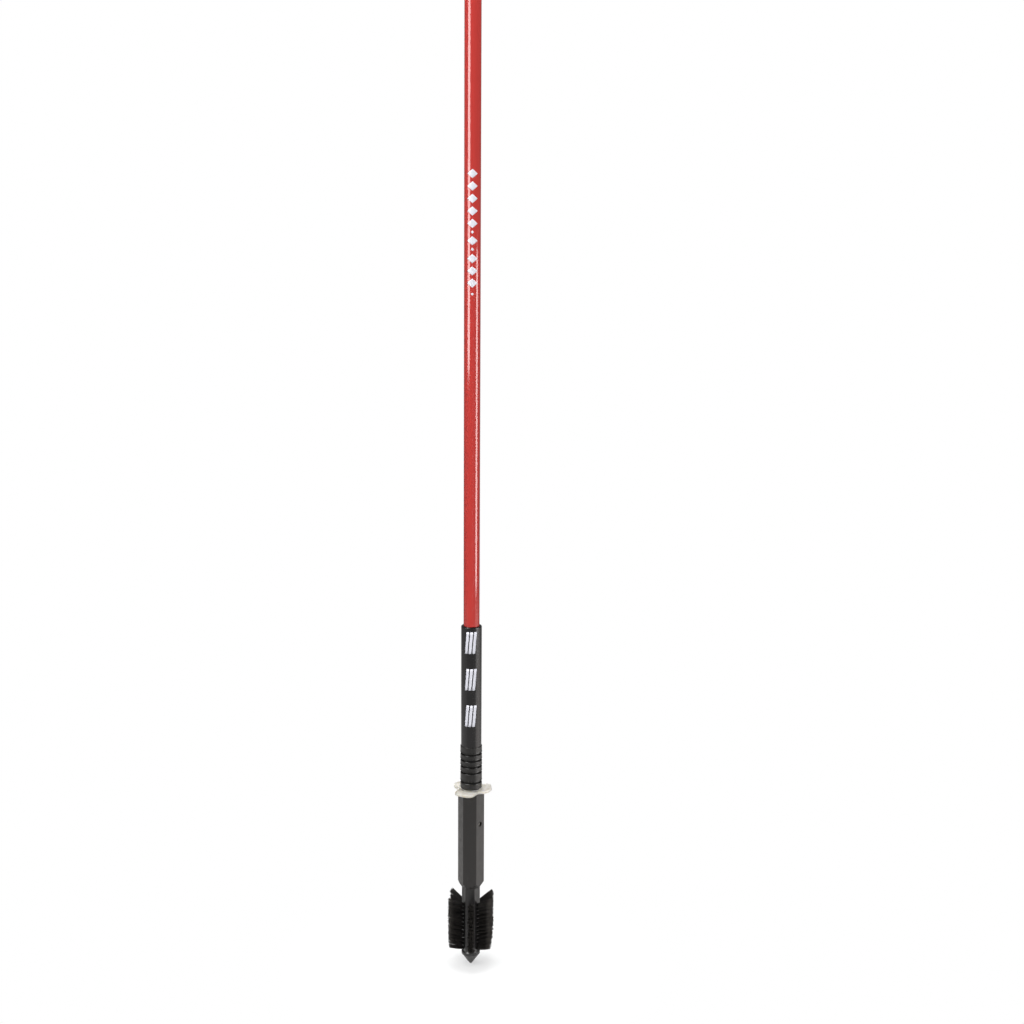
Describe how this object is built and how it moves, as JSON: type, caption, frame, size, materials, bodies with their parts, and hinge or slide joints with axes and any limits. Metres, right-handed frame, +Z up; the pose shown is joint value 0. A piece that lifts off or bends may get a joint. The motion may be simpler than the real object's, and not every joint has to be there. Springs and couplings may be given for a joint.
{
  "type": "break-away ski gate pole",
  "caption": "Hollow pole on a spring-tensioned rocking hinge with a black impact sleeve, over a hexagonal snow anchor with a stop flange, brush rows and a conical point.",
  "frame": {"origin": "on the pole's axis, at the top face of the hexagonal anchor, level with the snow", "axes": "+Z up along the pole, -Y out of one flat of the hexagonal anchor, +X towards the side that the hinge bends to"},
  "size_m": [0.0776, 0.0844, 2.1502],
  "materials": {
    "shaft_plastic": "satin moulded",
    "sleeve_plastic": "satin moulded",
    "hinge_plastic": "moulded, worn satin",
    "flange_plastic": "translucent milky",
    "anchor_plastic": "fine moulded grain",
    "core_plastic": "fine moulded grain",
    "bristle": "black filament",
    "plated_steel": "zinc plated",
    "cable_steel": "stranded wire rope",
    "spring_steel": "oiled spring wire"
  },
  "bodies": {
    "anchor": {"hex_body": "anchor_plastic", "brush_core": "core_plastic", "brush_row_1": "bristle", "brush_row_2": "bristle", "brush_row_3": "bristle", "brush_row_4": "bristle", "brush_row_5": "bristle", "brush_row_6": "bristle", "stop_flange": "flange_plastic", "thrust_washer": "plated_steel", "cross_pin": "plated_steel", "cable_terminal": "plated_steel", "tension_cable": "cable_steel"},
    "hinge_base": {"hinge_cup": "hinge_plastic"},
    "ring_1": {"knuckle_1": "hinge_plastic"},
    "ring_2": {"knuckle_2": "hinge_plastic"},
    "ring_3": {"knuckle_3": "hinge_plastic"},
    "ring_4": {"knuckle_4": "hinge_plastic"},
    "pole": {"shaft": "shaft_plastic", "impact_sleeve": "sleeve_plastic", "ferrule": "hinge_plastic", "top_cap": "shaft_plastic", "spring_seat": "plated_steel", "tension_spring": "spring_steel"},
    "plunger": {"spring_plunger": "plated_steel", "lock_nut": "plated_steel"}
  },
  "joints": [
    {"name": "pole_swivel", "type": "hinge", "parent": "anchor", "child": "hinge_base", "pos_m": [0, 0, 0.0068], "axis": [0, 0, 1], "continuous": true},
    {"name": "ring_1_tilt", "type": "hinge", "parent": "hinge_base", "child": "ring_1", "pos_m": [0.0158, 0, 0.0216], "axis": [0, 1, 0], "range_deg": [0, 18], "stiffness_Nm_per_rad": 130, "springref_deg": 0.03, "deforming": ["tension_cable"]},
    {"name": "ring_2_tilt", "type": "hinge", "parent": "ring_1", "child": "ring_2", "pos_m": [0.0158, 0, 0.0386], "axis": [0, 1, 0], "range_deg": [0, 18], "stiffness_Nm_per_rad": 130, "springref_deg": 0.03},
    {"name": "ring_3_tilt", "type": "hinge", "parent": "ring_2", "child": "ring_3", "pos_m": [0.0158, 0, 0.0496], "axis": [0, 1, 0], "range_deg": [0, 18], "stiffness_Nm_per_rad": 120, "springref_deg": 0.03},
    {"name": "ring_4_tilt", "type": "hinge", "parent": "ring_3", "child": "ring_4", "pos_m": [0.0158, 0, 0.0606], "axis": [0, 1, 0], "range_deg": [0, 18], "stiffness_Nm_per_rad": 120, "springref_deg": 0.03},
    {"name": "pole_tilt", "type": "hinge", "parent": "ring_4", "child": "pole", "pos_m": [0.0158, 0, 0.0716], "axis": [0, 1, 0], "range_deg": [0, 18], "stiffness_Nm_per_rad": 120, "springref_deg": 0.03},
    {"name": "plunger_draw", "type": "slide", "parent": "pole", "child": "plunger", "axis": [0, 0, -1], "range_m": [0, 0.025], "stiffness_N_per_m": 3, "springref_m": -0.105, "deforming": ["tension_spring"]}
  ],
  "couplings": [
    {"joint": "plunger_draw", "follows": "pole_tilt", "m_per_rad": 0.0787}
  ]
}
